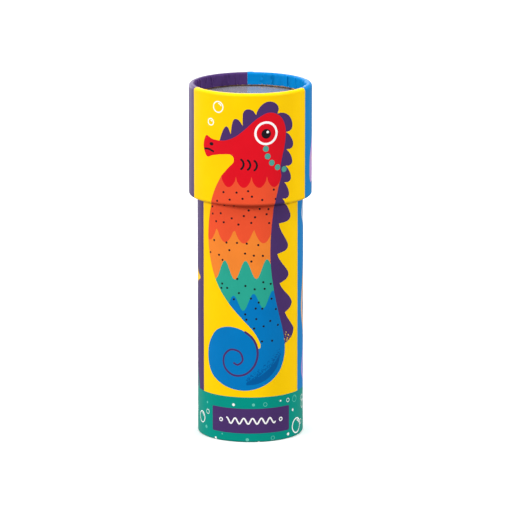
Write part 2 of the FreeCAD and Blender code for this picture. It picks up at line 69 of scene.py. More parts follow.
class Surface:
    """A node material with short calls for the textures that the surfaces share."""

    def __init__(self, name, colour, **settings):
        self.material = bpy.data.materials.new(name)
        self.material.use_nodes = True
        self.tree = self.material.node_tree
        self.tree.nodes.clear()
        self.colour = linear(colour)
        self.shader = self.add("BsdfPrincipled", Base_Color=(*self.colour, 1), **settings)
        self.link(self.shader.outputs[0], self.add("OutputMaterial").inputs["Surface"])
        self.place = self.add("TexCoord").outputs["Object"]

    def add(self, kind, **settings):
        """A new node with these inputs set; an underscore in a name stands for a space."""
        node = self.tree.nodes.new("ShaderNode" + kind)
        for key, value in settings.items():
            node.inputs[key.replace("_", " ")].default_value = value
        return node

    def link(self, start, end):
        self.tree.links.new(start, end)

    def stretch(self, x, y, z):
        """Object coordinates scaled along each axis."""
        node = self.add("Mapping", Scale=(x, y, z))
        self.link(self.place, node.inputs["Vector"])
        return node.outputs["Vector"]

    def noise(self, size, detail=3.0, place=None):
        """Fractal noise from 0 to 1 whose largest blotches are about this many millimetres."""
        node = self.add("TexNoise", Scale=1 / (size * MM), Detail=detail)
        self.link(place or self.place, node.inputs["Vector"])
        return node.outputs["Fac"]

    def ramp(self, value, low=0.0, high=1.0, start=0.3, end=0.7):
        """A value mapped from start..end to low..high."""
        node = self.add("MapRange", From_Min=start, From_Max=end, To_Min=low, To_Max=high)
        self.link(value, node.inputs["Value"])
        return node.outputs["Result"]

    def blend(self, factor, first, second):
        """Two colours mixed by a value."""
        node = self.add("Mix")
        node.data_type = "RGBA"
        self.link(factor, node.inputs[0])
        for socket, colour in ((node.inputs[6], first), (node.inputs[7], second)):
            if isinstance(colour, tuple):
                socket.default_value = (*colour, 1)
            else:
                self.link(colour, socket)
        return node.outputs[2]

    def tone(self, value, spread):
        """Base colour varied by a value: darker and lighter by the spread."""
        dark = tuple(c * (1 - spread) for c in self.colour)
        light = tuple(min(1.0, c * (1 + spread) + 0.01 * spread) for c in self.colour)
        self.link(self.blend(value, dark, light), self.shader.inputs["Base Color"])

    def rough(self, value, low, high):
        self.link(self.ramp(value, low, high), self.shader.inputs["Roughness"])

    def cells(self, size):
        """Distance to the nearest of many scattered cell centres, about this many millimetres apart."""
        node = self.add("TexVoronoi", Scale=1 / (size * MM))
        self.link(self.place, node.inputs["Vector"])
        return node.outputs["Distance"]

    def math(self, operation, first, second=0.0):
        node = self.add("Math")
        node.operation = operation
        for socket, value in zip(node.inputs, (first, second)):
            if isinstance(value, float):
                socket.default_value = value
            else:
                self.link(value, socket)
        return node.outputs[0]

    def height_and_angle(self):
        """Height in millimetres, and the share of a turn round the tube's axis, from 0 to 1."""
        split = self.add("SeparateXYZ")
        self.link(self.place, split.inputs[0])
        angle = self.math("ARCTAN2", split.outputs["Y"], split.outputs["X"])
        share = self.math("FRACT", self.math("MULTIPLY", angle, 1 / TURN))
        return self.math("MULTIPLY", split.outputs["Z"], 1 / MM), share

    def bump(self, *layers):
        """Relief: pairs of (height value, height in millimetres)."""
        normal = None
        for value, height in layers:
            node = self.add("Bump", Strength=1.0, Distance=height * MM)
            self.link(value, node.inputs["Height"])
            if normal is not None:
                self.link(normal, node.inputs["Normal"])
            normal = node.outputs["Normal"]
        self.link(normal, self.shader.inputs["Normal"])


def print_ink(name):
    """Printed, satin-laminated paper in one ink."""
    look = Surface("print_" + name, INKS[name], Specular_IOR_Level=0.07)
    fibre = look.noise(0.55, 4.0)
    cloud = look.noise(9.0, 2.0)
    look.tone(look.ramp(cloud), 0.025)
    look.rough(fibre, 0.34, 0.44)
    look.bump((cloud, 0.03), (fibre, 0.004))
    return look.material


def kraft_board(name, colour, plies=0.0, winding=0.0):
    """Board with fibres: plies is the thickness of the layers that a cut edge shows, winding the
    pitch of the seam that a spiral-wound tube has, both in millimetres.
    """
    look = Surface(name, colour, Specular_IOR_Level=0.2)
    fibre = look.noise(0.7, 6.0, look.stretch(1.0, 1.0, 3.0))
    cloud = look.noise(5.0, 3.0)
    fleck = look.ramp(look.noise(0.35, 1.0), 0.0, 1.0, 0.66, 0.7)
    look.tone(look.ramp(fibre), 0.24)
    base = look.shader.inputs["Base Color"]
    dark = tuple(c * 0.45 for c in look.colour)
    look.link(look.blend(fleck, base.links[0].from_socket, dark), base)
    look.rough(cloud, 0.78, 0.95)
    relief = [(fibre, 0.05), (cloud, 0.08)]
    height, share = look.height_and_angle()
    if plies:
        uneven = look.math("ADD", height, look.math("MULTIPLY", cloud, plies))
        ply = look.math("PINGPONG", uneven, plies)
        relief.append((look.ramp(ply, 0.0, 1.0, 0.0, plies * 0.3), 0.06))
    if winding:
        turns = look.math("ADD", look.math("MULTIPLY", height, 1 / winding), share)
        seam = look.math("PINGPONG", look.math("FRACT", turns), 0.5)
        relief.append((look.ramp(seam, 0.0, 1.0, 0.0, 0.012), 0.12))
    look.bump(*relief)
    return look.material


def waxed_paper(name, colour):
    """Smooth, slightly translucent paper with cloudy fibres."""
    look = Surface(name, colour, Specular_IOR_Level=0.45, Subsurface_Weight=0.1, Subsurface_Scale=0.5 * MM)
    cloud = look.noise(3.0, 5.0)
    look.tone(look.ramp(cloud), 0.05)
    look.rough(look.noise(0.8, 3.0), 0.28, 0.42)
    look.bump((cloud, 0.03))
    return look.material


def mirror_strip(name, colour):
    """Silvered plastic: nearly flat, with a few hairline scratches."""
    look = Surface(name, colour, Metallic=1.0)
    scratch = look.noise(1.0, 2.0, look.stretch(6.0, 6.0, 0.15))
    look.rough(scratch, 0.015, 0.06)
    look.bump((look.noise(14.0, 1.0), 0.02))
    return look.material


def clear_sheet(name, colour, roughness, haze):
    """Clear, hazy or frosted plastic; haze is how much light scatters off it instead of passing."""
    look = Surface(name, colour, IOR=1.49, Transmission_Weight=1 - haze)
    look.tone(look.ramp(look.noise(12.0, 2.0)), 0.03)
    look.rough(look.noise(1.6, 3.0), roughness * 0.85, roughness * 1.15)
    look.bump((look.noise(8.0, 1.0), 0.02), (look.noise(0.3, 2.0), 0.0015))
    return look.material


def sticky_tape(name, colour):
    """Amber tape with fine lines drawn along it and a few trapped bubbles."""
    look = Surface(name, colour, Transmission_Weight=0.35, IOR=1.47)
    lines = look.noise(0.5, 2.0, look.stretch(0.3, 0.3, 4.0))
    bubbles = look.ramp(look.cells(2.4), 1.0, 0.0, 0.12, 0.2)
    look.tone(look.ramp(lines), 0.12)
    look.rough(lines, 0.14, 0.26)
    look.bump((lines, 0.01), (bubbles, 0.03))
    return look.material


def closed_foam(name, colour):
    """Fine-celled foam, with painted shade: the sunken pores are also darker in colour."""
    look = Surface(name, colour, Specular_IOR_Level=0.25)
    pore_depth_and_shade = look.ramp(look.cells(0.45), 0.0, 1.0, 0.1, 0.5)
    # painted shade: the same mask that sinks the pores darkens their colour
    look.tone(pore_depth_and_shade, 0.45)
    look.rough(look.noise(2.0), 0.82, 0.97)
    look.bump((pore_depth_and_shade, 0.12))
    return look.material


def loose_plastic(name, colours, edges, clear):
    """Glossy bead plastic: a colour for each piece round the ring, changing at these angles in degrees."""
    look = Surface(name, colours[0], IOR=1.5, Transmission_Weight=clear)
    _, share = look.height_and_angle()
    ramp = look.add("ValToRGB")
    ramp.color_ramp.interpolation = "CONSTANT"
    look.link(share, ramp.inputs[0])
    stops = ramp.color_ramp.elements
    stops[0].color = (*linear(colours[-1]), 1)
    stops.remove(stops[1])
    for k, edge in enumerate(edges):
        stop = stops.new(edge / 360)
        stop.color = (*linear(colours[k % len(colours)]), 1)
    swirl = look.ramp(look.noise(2.2, 3.0))
    pale = look.blend(look.math("MULTIPLY", swirl, 0.12), ramp.outputs["Color"], (1.0, 1.0, 1.0))
    look.link(pale, look.shader.inputs["Base Color"])
    look.rough(look.noise(1.2, 2.0), 0.05, 0.16)
    look.bump((look.noise(1.8, 2.0), 0.02))
    return look.material


# ---------------------------------------------------------------- drawing tools
# Drawings are flat, in paper millimetres: x along the paper from the front's middle, z the height.

END_STEPS = 5  # of a drawn line's round end
LOBE_STEPS = 15
WAVE_STEPS = 60
BASE_FADE = 12  # a lobed band's base grows over a twelfth of its path, and shrinks over the last
LEAST_SHINE = 1.6  # bubbles no larger than this have no shine line


def smooth(points, steps=6):
    """A smooth open line through the points."""
    if len(points) == 2:
        return list(points)
    padded = [points[0], *points, points[-1]]
    line = []
    for a, b, c, d in zip(padded, padded[1:], padded[2:], padded[3:]):
        for k in range(steps):
            t = k / steps
            line.append(tuple(
                0.5 * (2 * q + (r - p) * t + (2 * p - 5 * q + 4 * r - s) * t * t
                       + (3 * q - p - 3 * r + s) * t ** 3)
                for p, q, r, s in zip(a, b, c, d)))
    return line + [points[-1]]


def outline(*strokes):
    """A closed outline: smooth strokes that meet at corners."""
    line = []
    for stroke in strokes:
        line += smooth(stroke)[:-1]
    return line


def loop(points, steps=6):
    """A closed outline, smooth all the way round."""
    wrapped = [points[-1], *points, points[0], points[1]]
    line = smooth(wrapped, steps)
    return line[steps:steps * (len(points) + 1)]


def oval(x, z, radius, height=None, count=28):
    """A circle, or an oval of this half width and half height."""
    height = radius if height is None else height
    angles = [TURN * k / count for k in range(count)]
    return [(x + radius * cos(a), z + height * sin(a)) for a in angles]


def box(x0, z0, x1, z1):
    """A rectangle."""
    return [(x0, z0), (x1, z0), (x1, z1), (x0, z1)]


def arc(x, z, radius, start, end, count=10):
    """Points along a circle, between two angles in degrees."""
    angles = [radians(start + (end - start) * k / count) for k in range(count + 1)]
    return [(x + radius * cos(a), z + radius * sin(a)) for a in angles]


def brush(line, width, tip=None):
    """A drawn line's outline: round-ended, and as wide as tip at its far end."""
    tip = width if tip is None else tip
    last = len(line) - 1
    turns = []
    for k in range(last + 1):
        before, after = line[max(k - 1, 0)], line[min(k + 1, last)]
        side = atan2(after[1] - before[1], after[0] - before[0]) + pi / 2
        turns.append((k, side))
    for j in range(1, END_STEPS):
        turns.append((last, turns[last][1] - pi * j / END_STEPS))
    for k in range(last, -1, -1):
        turns.append((k, turns[k][1] - pi))
    for j in range(END_STEPS - 1, 0, -1):
        turns.append((0, turns[0][1] + pi * j / END_STEPS))
    widths = [(width + (tip - width) * k / last) / 2 for k in range(last + 1)]
    return [(line[k][0] + widths[k] * cos(a), line[k][1] + widths[k] * sin(a)) for k, a in turns]


def lobes(path, count, height, base=0.0, skew=1.0, lean=0.0, power=0.6):
    """A line of round lobes standing to the left of a path, their heights from a function of its share.

    base is the width of the plain band between the path and the lobes. A skew over 1 sets their
    tips late, lean tips them forward, and a power under 1 makes them fuller.
    """
    spots = np.array(path, float)
    reach = np.concatenate(([0.0], np.cumsum(np.hypot(*np.diff(spots, axis=0).T))))
    ways = np.gradient(spots, reach, axis=0)
    line = []
    for k in range(count * LOBE_STEPS + 1):
        t = (k % LOBE_STEPS) / LOBE_STEPS
        share = k / (count * LOBE_STEPS)
        here, along = (np.array([np.interp(share * reach[-1], reach, values) for values in table.T])
                       for table in (spots, ways))
        along /= np.hypot(*along)
        out = height(share) * max(sin(pi * t ** skew), 0.0) ** power
        out += base * min(1.0, share * BASE_FADE, (1 - share) * BASE_FADE)
        line.append((here[0] + (along[0] * lean - along[1]) * out,
                     here[1] + (along[1] * lean + along[0]) * out))
    return line


def wavy(reach, level, height, period, start=0.0, slope=0.0, pointed=False):
    """A wavy edge from -reach to reach; pointed waves are round below and sharp above."""
    line = []
    for k in range(WAVE_STEPS + 1):
        x = -reach + 2 * reach * k / WAVE_STEPS
        phase = pi * (x - start) / period
        lift = -abs(sin(phase)) ** 0.75 if pointed else cos(2 * phase) / 2
        line.append((x, level + slope * x + height * lift))
    return line


class Drawing:
    """Flat shapes in painting order: later shapes cover earlier ones."""

    def __init__(self):
        self.shapes = []

    def paint(self, ink, shape, hole=None, within=None):
        self.shapes.append((ink, shape, hole, within))

    def bubble(self, x, z, radius, width, ink="white"):
        """A ring with a short shine line inside it."""
        self.paint(ink, oval(x, z, radius), hole=oval(x, z, radius - width))
        if radius > LEAST_SHINE:
            self.paint(ink, brush(arc(x, z, radius - width * 2.1, 25, 80, 5), width * 0.9))

    def bubbles(self, width, places):
        for x, z, radius in places:
            self.bubble(x, z, radius, width)

    def fish(self, x, z, size, ink, stripe, lean, facing=1):
        """A plain round-bodied fish: facing is 1 to the right and -1 to the left."""
        def spots(*shares):
            return [(x + size * (u * facing * cos(lean) - v * sin(lean)),
                     z + size * (u * facing * sin(lean) + v * cos(lean))) for u, v in shares]
        body = loop(spots((1, 0), (0.62, 0.42), (0, 0.56), (-0.6, 0.3), (-0.9, 0.02), (-0.6, -0.28),
                          (0, -0.52), (0.62, -0.38)))
        self.paint(stripe, outline(spots((-0.75, 0), (-1.15, 0.2), (-1.5, 0.52)),
                                   spots((-1.5, 0.52), (-1.32, 0), (-1.5, -0.5)),
                                   spots((-1.5, -0.5), (-1.15, -0.2), (-0.75, 0))))
        self.paint(stripe, outline(spots((0.25, 0.45), (-0.1, 0.86), (-0.5, 0.8)),
                                   spots((-0.5, 0.8), (-0.45, 0.5), (-0.4, 0.35)),
                                   spots((-0.4, 0.35), (0.25, 0.45))))
        self.paint(ink, body)
        for u in (-0.45, -0.1, 0.25):
            band = smooth(spots((u, 0.7), (u + 0.1, 0), (u, -0.7)))
            self.paint(stripe, brush(band, size * 0.1), within=body)
        for colour, u, radius in (("white", 0.62, 0.15), ("black", 0.66, 0.08)):
            self.paint(colour, oval(*spots((u, 0.1))[0], size * radius))


# ---------------------------------------------------------------- the drawings

SPOT_SEED, FIN_SEED, TAIL_SEED, FOOT_SEED, LABEL_SEED = 5, 7, 5, 9, 13
SHAKE = 0.3  # of the spots' spacing
CAP_PANELS = (-36.2, 34.2)  # where yellow meets purple and blue
TUBE_PANELS = (-29.4, 29.9)
FOOT_TOP = 24
BODY_REACH = 30  # half width of the colour bands that are cut to the body's outline
BAND_EDGES = (91, 111)  # heights that the body's spots keep clear of, by BAND_GAP
BAND_GAP = 4


def shaken_grid(low_x, low_z, high_x, high_z, step):
    """Spots in staggered rows, each a little out of place."""
    dice = random.Random(SPOT_SEED)
    spots = []
    start, z = low_x, low_z
    while z < high_z:
        x = start
        while x < high_x:
            spots.append((x + dice.uniform(-SHAKE, SHAKE) * step, z + dice.uniform(-SHAKE, SHAKE) * step))
            x += step
        z += step * 0.8
        start = low_x + (step / 2 if start == low_x else 0)
    return spots


def seahorse(art):
    """The seahorse that runs down the front of the cap and the tube."""
    chest = [(-15.4, 141), (-19.6, 133), (-22.4, 124.5), (-24.4, 115), (-24.8, 105), (-23, 94.5),
             (-18.6, 83.5), (-12, 74), (-4.4, 65.6), (1.6, 59), (4.9, 53), (5.1, 50.4), (4.1, 49.8)]
    coil = [(4.1, 49.8), (3.2, 52), (0.6, 56), (-2.6, 58.6), (-7, 60.6), (-13.4, 60.8), (-20.2, 57.2),
            (-25, 47.6), (-23.2, 36.4), (-14.6, 29.8), (-3, 27.5), (7.8, 30.3), (16, 37.2), (19.3, 47),
            (18.2, 57.4), (15.2, 68.5)]
    back = [(15.2, 68.5), (12.2, 82), (10.6, 96), (10.9, 110), (12.6, 124.5), (14.8, 134.5), (16.6, 141)]
    body = outline(chest, coil + back[1:], [(16.6, 141), (-15.4, 141)])

    mane_path = smooth([(-17, 156), (-9, 159.6), (-2, 164.6), (4, 169.8), (10, 171.4), (14.4, 168.6),
                        (16, 162.6), (16.2, 155), (15.8, 147.5), (15.2, 140), (14.2, 131.5), (12.9, 122)])
    mane = lobes(mane_path, 10, lambda u: 5.8 - 2.3 * u, base=3.4, skew=1.35, lean=0.3, power=0.55)
    art.paint("purple", mane + [(5, 122), (-6, 150)])
    fin_path = smooth([(12.4, 132), (9.8, 114), (9, 98), (10.2, 84), (12.6, 72), (15.2, 61), (17, 50)])
    fin = lobes(fin_path, 5, lambda u: 7.7 - 2.2 * u, base=5.6, skew=2.6, power=0.55)
    art.paint("purple", fin + [(8, 50), (4, 90), (4, 132)])
    dice = random.Random(FIN_SEED)
    for _ in range(46):
        x, z = dice.uniform(17.5, 24), 50.5 + abs(dice.gauss(0, 2.4))
        art.paint("yellow", oval(x, z, dice.uniform(0.16, 0.42), count=6))

    art.paint("azure", body)
    for ink, edge, top in (("teal", wavy(BODY_REACH, 74.5, 8.5, 10.4, 1.6, 0.12), 110),
                           ("orange", wavy(BODY_REACH, 91.5, 10, 11.2, -2.5, 0.05), 120),
                           ("vermilion", wavy(BODY_REACH, 113.5, 8.2, 10.2, -18.6, pointed=True),
                            142)):
        art.paint(ink, edge + [(BODY_REACH, top), (-BODY_REACH, top)], within=body)

    for x, z in shaken_grid(-23, 50, 17, 138, 6.2):
        clear_of_coil = z > 52 and x > -26 + max(0, 96 - z) * 0.62
        if clear_of_coil and all(abs(z - edge) > BAND_GAP for edge in BAND_EDGES):
            art.paint("black", oval(x, z, 0.6, count=10), within=body)

    face = outline(
        [(-15.4, 141), (-11.6, 145.4), (-8.6, 148.8), (-9.8, 152.2), (-15, 152.2), (-20.4, 151.2),
         (-24.6, 150.2), (-27, 155.4), (-25, 161), (-20.6, 159.6), (-14, 159.4), (-8, 161.6), (-2.4, 166),
         (3.2, 171), (9.8, 174.2), (16, 171.8), (19, 165.8), (18.8, 158), (17, 150.6), (16, 145),
         (16.6, 141)],
        lobes([(16.6, 141), (-15.4, 141)], 4, lambda u: 5.6, power=0.62))
    art.paint("red", face)
    head_features(art)
    spiral_tail(art, body)


def head_features(art):
    """Eye, nostril, mouth, gill lines and cheek spots."""
    eye_x, eye_z = 8.2, 163.6
    art.paint("white", oval(eye_x, eye_z, 6.2), hole=oval(eye_x, eye_z, 5.0))
    art.paint("black", oval(eye_x, eye_z - 0.3, 2.5))
    art.paint("white", oval(eye_x + 0.8, eye_z + 0.6, 0.7, count=12))
    art.paint("black", oval(-21.4, 157, 1.3, 0.9, count=16))
    art.paint("black", brush(smooth([(-26.2, 153.9), (-23.2, 154.1), (-20.2, 153.2)]), 1.0))
    for k in range(3):
        gill = arc(-6.4 + 3.4 * k, 147.6 - 0.3 * k, 3.0, -55, 55, 8)
        art.paint("black", brush(gill, 1.05))
    for x, z in arc(20.4, 156.4, 12.4, 184, 260, 4):
        art.paint("sage", oval(x, z, 1.55, count=18))


def spiral_tail(art, body):
    """The coil's line, and the stippled shade along its lower right."""
    line = smooth([(-2.6, 58.6), (0.7, 55.9), (3.1, 51.6), (3.7, 46), (1.8, 40.4), (-2.8, 36.2),
                   (-9, 35.6), (-13.8, 39.4), (-14.2, 45.2), (-10.4, 49), (-5.6, 48), (-4, 43.8),
                   (-6.4, 41.2), (-8.6, 42)])
    art.paint("purple", brush(line, 1.15, 0.95))
    rim = [(16.4, 46), (14.6, 39.8), (10, 34.4), (4, 31.2), (-2, 30.4)]
    shade = outline(rim, [(-2, 30.4), (-1.6, 32.2), (4.4, 35), (9.2, 38.4), (13, 42), (16.4, 46)])
    art.paint("navy", shade, within=body)
    dice = random.Random(TAIL_SEED)
    for _ in range(170):
        share = dice.random()
        x = -1.6 + 18 * share + dice.uniform(-0.6, 0.6)
        z = 32.4 + 13.4 * share ** 1.35 + abs(dice.gauss(0, 1.5))
        art.paint("navy", oval(x, z, dice.uniform(0.18, 0.4), count=6), within=body)


def left_side(art):
    """A starfish and small fish on the purple side."""
    def from_star(distance, tenth):
        """A point this far from the starfish's middle, in one of ten directions."""
        angle = TURN * tenth / 10
        return -46.5 + distance * cos(angle), 83.5 + distance * sin(angle)

    art.paint("yellow", loop([from_star(7.2 if k % 2 else 13.0, k) for k in range(10)], 5))
    for k in range(0, 10, 2):
        for distance in (3.2, 6.4, 9.2):
            art.paint("orange", oval(*from_star(distance, k), 0.9 - distance * 0.04, count=12))
    art.fish(-62, 113, 9.5, "orange", "white", lean=0.15)
    art.fish(-69, 53, 8.0, "teal", "yellow", lean=-0.1, facing=-1)
    for k, (x, height) in enumerate(((-38.5, 16), (-56, 40), (-61, 28), (-79.8, 47), (-84, 32))):
        weed = [(x + 1.8 * sin(0.32 * z + k), 20 + z) for z in range(height)]
        art.paint("green", brush(weed, 3.4, 0.8))
    art.bubbles(0.5, ((-75, 118, 1.6), (-78.5, 123, 1.1), (-73.6, 100, 1.4), (-57, 60, 1.2),
                      (-66, 70, 1.9)))


def right_side(art, least_x=0):
    """A jellyfish whose tentacles hang down the blue side; none of them passes left of least_x."""
    bell_x, bell_z = 57.0, 143.5
    strands = (("white", 2.2, [(48, 138), (44, 128), (36.8, 117.5), (42.6, 108), (45.4, 98)]),
               ("peach", 3.6, [(51, 138), (47.6, 120), (45, 98), (36.6, 69.5), (41.5, 52), (44.6, 43)]),
               ("lilac", 3.4, [(55, 138), (51.6, 106), (49.5, 77), (44.8, 52), (36.8, 35), (41, 28)]),
               ("white", 1.8, [(58, 138), (60, 120), (55.4, 100), (59.6, 82), (55, 64), (58, 52)]),
               ("pink", 3.2, [(62, 138), (65.6, 118), (61.6, 94), (65, 72), (61, 56)]),
               ("lilac", 2.8, [(66, 138), (70.6, 122), (68, 104), (72, 90)]))
    for ink, width, points in strands:
        line = [p for p in smooth(points) if p[0] > least_x]
        art.paint(ink, brush(line, width * 1.2, width * 0.6))
    dome = [(bell_x + x, bell_z + z) for x, z in (
        (-16.4, -6), (-15.6, 4), (-9, 13.5), (0, 16.5), (9, 13.5), (15.6, 4), (16.4, -6))]
    art.paint("lilac", outline(dome, lobes([dome[-1], dome[0]], 5, lambda u: 4.5)))
    for x, z, r in ((-8.5, 2, 2.1), (-2.5, 8, 1.5), (3.6, 1.5, 2.5), (9.6, 6, 1.6), (0.5, 12.6, 1.0)):
        art.paint("peach", oval(bell_x + x, bell_z + z, r))
    for side in (-1, 1):
        art.paint("white", oval(bell_x + side * 4.2, bell_z - 5, 1.7))
        art.paint("black", oval(bell_x + side * 4.2, bell_z - 5.2, 0.95))
    art.fish(79, 104, 8.5, "yellow", "vermilion", lean=0.1, facing=-1)
    art.fish(76.5, 47, 7.2, "pink", "white", lean=-0.12)
    art.bubbles(0.55, ((74, 84, 1.9), (79, 89, 1.3), (71, 68, 1.5), (77, 120, 1.4)))


def foot_bubbles(art, half_round):
    """Bubbles all round the green foot band, and the plate on its front."""
    front = ((-8.9, 19.8, 0.75, "dot"), (1.6, 20, 0.8, "faint dot"), (7.8, 20, 1.1, "faint"),
             (16.6, 21, 0.5, "dot"), (21.6, 20.6, 1.1, "ring"), (27, 20.4, 1.9, "faint"),
             (-25.6, 13.8, 1.3, "ring"), (-26, 18.6, 0.6, "faint dot"), (-31.4, 9.8, 3.2, "ring"),
             (-27, 5.4, 0.9, "faint dot"), (29, 5.6, 4.2, "ring"), (25.4, 14.6, 0.7, "dot"),
             (21.8, 2.4, 0.8, "dot"), (12, 1.8, 1.1, "faint"), (-1.6, 1.4, 0.9, "faint dot"),
             (-15.4, 3.6, 0.4, "faint dot"), (-19.6, 0.8, 0.7, "dot"), (4.4, -0.2, 0.8, "dot"))
    dice = random.Random(FOOT_SEED)
    around = []
    for k in range(46):
        x = 33 + (2 * half_round - 74) * (k + dice.uniform(0.2, 0.8)) / 46
        x = x - 2 * half_round if x > half_round - 2 else x
        kind = dice.choice(("dot", "faint dot", "ring", "faint", "ring"))
        radius = dice.uniform(0.4, 0.8) if "dot" in kind else dice.uniform(0.9, 2.7)
        around.append((x, dice.uniform(3.4, 20.6), radius, kind))
    for x, z, radius, kind in (*front, *around):
        ink = "mist" if "faint" in kind else "white"
        if "dot" in kind:
            art.paint(ink, oval(x, z, radius, count=14))
        else:
            art.bubble(x, z, radius, max(0.28, radius * 0.16), ink)
    plate = []
    for x, z, turned in ((21.6, 17.1, 0), (-21.0, 17.1, 90), (-21.0, 5.5, 180), (21.6, 5.5, 270)):
        plate += arc(x, z, 0.8, turned, turned + 90, 5)
    art.paint("purple", plate)
    crest = [(x / 3, 11.3 + 1.5 * sin(TURN * x / 3 / 4.6)) for x in range(-38, 41)]
    art.paint("white", brush(crest, 0.8))
    for side in (-1, 1):
        art.paint("white", oval(0.3 + side * 16.4, 11.3, 1.15), hole=oval(0.3 + side * 16.4, 11.3, 0.6))


def panels(half_round, low, high, borders):
    """A drawing of the three panels, a little longer than the way round the tube."""
    art = Drawing()
    stops = (-half_round * 1.1, *borders, half_round * 1.1)
    for ink, start, end in zip(("purple", "yellow", "blue"), stops, stops[1:]):
        art.paint(ink, box(start, low, end, high))
    return art


def cap_art(half_round, low, high):
    """What is printed on the cap's paper."""
    art = panels(half_round, low, high, CAP_PANELS)
    left_side(art)
    art.fish(-64, 150, 11.5, "pink", "lilac", lean=0.12)
    art.bubbles(0.55, ((-57, 162, 1.7), (-54, 168, 1.1), (-84, 168, 2.2), (-80, 136, 1.4)))
    right_side(art, least_x=46)
    art.bubbles(0.55, ((79, 165, 2.0), (84, 171, 1.3), (58, 172, 1.2), (86, 140, 1.6)))
    seahorse(art)
    art.bubble(-17.2, 176.6, 3.1, 0.6)
    art.bubble(-21.8, 168.4, 2.0, 0.55)
    return art


def tube_art(half_round, low, high):
    """What is printed on the viewing tube's paper."""
    art = panels(half_round, low, high, TUBE_PANELS)
    left_side(art)
    right_side(art)
    seahorse(art)
    art.paint("green", box(-half_round * 1.1, low, half_round * 1.1, FOOT_TOP))
    foot_bubbles(art, half_round)
    return art


# ---------------------------------------------------------------- printed paper sheets

PAPER = 0.2
GLUE = 0.02  # between the flap and the paper that it covers
FLAP_BEND = radians(2.4)
FOOT_FADE = 3.0  # the tube's seam thins out over this height, so that it stands flat

# A pleat's section from side to side, in half widths: a slow rise, a ridge, a steep fall to a groove.
PLEAT_STEPS = (-1.0, -0.5, 0.0, 0.45, 0.72, 0.82, 0.9, 1.0)
PLEAT_SHAPE = (0.0, 0.12, 0.4, 0.78, 1.0, 0.92, 0.5, 0.0)
GROOVE_STEPS = (0.95, 1.1, 1.3)
GROOVE_DEPTH = 0.14
PLEAT_SEED = 23
PLEAT_START = 0.8  # share of the outer turn after which the pleats begin
PLEAT_GROWTH = 2.4  # length of paper over which they reach their full height
DRIFT_FROM, DRIFT_OVER = 4, 6  # they lean from here, over this length
SEAM_CLEAR = (-0.3, 0.02)  # there are none this near the seam, in radians


def node_spots(node):
    """A CAD node's points in millimetres, and how far they are from the axis."""
    spots = np.array([v.co for v in frame["nodes"][node].data.vertices]) / MM
    return spots, np.hypot(spots[:, 0], spots[:, 1])


def add_object(name, data):
    """A new object in the scene."""
    thing = bpy.data.objects.new(name, data)
    bpy.context.scene.collection.objects.link(thing)
    return thing


